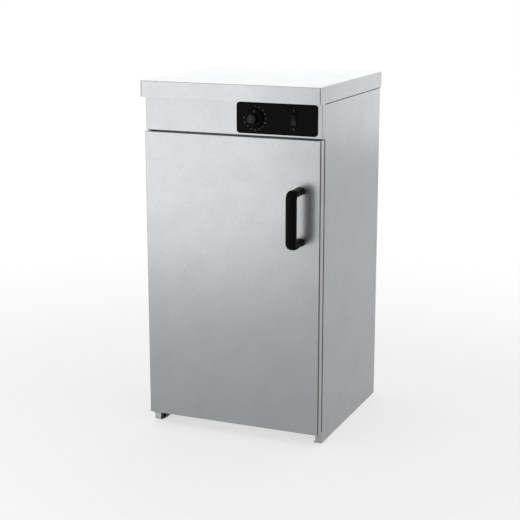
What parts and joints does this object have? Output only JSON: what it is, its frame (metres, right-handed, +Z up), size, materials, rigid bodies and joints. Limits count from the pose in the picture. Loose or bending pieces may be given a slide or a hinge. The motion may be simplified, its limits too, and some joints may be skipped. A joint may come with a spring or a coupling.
{
  "type": "plate warmer cabinet",
  "caption": "Free-standing heated cabinet for stacks of plates: folded steel body and worktop, side-hinged insulated door with bow handle, thermostat panel and wire shelves.",
  "frame": {"origin": "on the floor under the middle of the whole box, door handle and cord gland included", "axes": "+Z up, -Y out of the door, +X towards the handle side"},
  "size_m": [0.45, 0.514, 0.855],
  "materials": {
    "satin_steel": "satin",
    "worktop_steel": "satin",
    "liner_steel": "satin",
    "galvanised": "satin",
    "zinc_steel": "satin",
    "chrome_wire": "gloss",
    "element_sheath": "matte",
    "brass": "satin",
    "black_moulding": "satin",
    "switch_gloss": "gloss",
    "grey_nylon": "matte",
    "natural_nylon": "matte",
    "magnet_ferrite": "matte",
    "lead_sleeve": "satin",
    "silicone_gasket": "matte",
    "mineral_wool": "matte"
  },
  "bodies": {
    "cabinet": {"back_panel": "galvanised", "base_panel": "galvanised", "bulb_clips": "galvanised", "capillary_bulb": "brass", "catch_housing": "grey_nylon", "catch_magnet": "magnet_ferrite", "control_fascia": "black_moulding", "control_leads": "lead_sleeve", "control_panel": "satin_steel", "cord_gland": "grey_nylon", "countersunk_screws": "zinc_steel", "earth_stud": "zinc_steel", "element_bushes": "brass", "element_guard": "liner_steel", "element_supports": "liner_steel", "floor_glides": "grey_nylon", "header_rail": "satin_steel", "heater_leads": "lead_sleeve", "heating_element": "element_sheath", "hinge_bracket_lower": "liner_steel", "hinge_bracket_upper": "liner_steel", "hinge_pins": "zinc_steel", "insulation_back": "mineral_wool", "insulation_bottom": "mineral_wool", "insulation_left": "mineral_wool", "insulation_right": "mineral_wool", "insulation_top": "mineral_wool", "liner_back": "liner_steel", "liner_ceiling": "liner_steel", "liner_floor": "liner_steel", "liner_left": "liner_steel", "liner_right": "liner_steel", "pan_head_screws": "zinc_steel", "runners_left": "liner_steel", "runners_right": "liner_steel", "safety_cutout": "grey_nylon", "service_tray": "galvanised", "side_panel_left": "satin_steel", "side_panel_right": "satin_steel", "sill_rail": "satin_steel", "switch_housing": "black_moulding", "terminal_block": "natural_nylon", "thermostat_body": "grey_nylon", "thermostat_screws": "zinc_steel", "worktop": "worktop_steel"},
    "door": {"door_outer_skin": "satin_steel", "door_inner_pan": "satin_steel", "door_insulation": "mineral_wool", "door_gasket": "silicone_gasket", "door_handle": "black_moulding", "handle_screws": "zinc_steel", "hinge_plates": "galvanised", "hinge_bushes": "natural_nylon", "catch_strike": "galvanised"},
    "temperature_knob": {"control_knob": "black_moulding", "thermostat_spindle": "zinc_steel"},
    "power_rocker": {"switch_rocker": "switch_gloss"},
    "lower_shelf": {"shelf_lower": "chrome_wire"},
    "middle_shelf": {"shelf_middle": "chrome_wire"},
    "upper_shelf": {"shelf_upper": "chrome_wire"}
  },
  "joints": [
    {"name": "door_hinge", "type": "hinge", "parent": "cabinet", "child": "door", "pos_m": [-0.216, -0.179, 0.3822], "axis": [0, 0, -1], "range_deg": [0, 115]},
    {"name": "temperature_dial", "type": "hinge", "parent": "cabinet", "child": "temperature_knob", "pos_m": [0.0595, -0.189, 0.778], "axis": [0, 1, 0], "range_deg": [0, 270]},
    {"name": "power_switch", "type": "hinge", "parent": "cabinet", "child": "power_rocker", "pos_m": [0.1545, -0.1875, 0.778], "axis": [-1, 0, 0], "range_deg": [0, 14]},
    {"name": "lower_shelf_slide", "type": "slide", "parent": "cabinet", "child": "lower_shelf", "axis": [0, -1, 0], "range_m": [0, 0.022]},
    {"name": "middle_shelf_slide", "type": "slide", "parent": "cabinet", "child": "middle_shelf", "axis": [0, -1, 0], "range_m": [0, 0.022]},
    {"name": "upper_shelf_slide", "type": "slide", "parent": "cabinet", "child": "upper_shelf", "axis": [0, -1, 0], "range_m": [0, 0.022]}
  ]
}
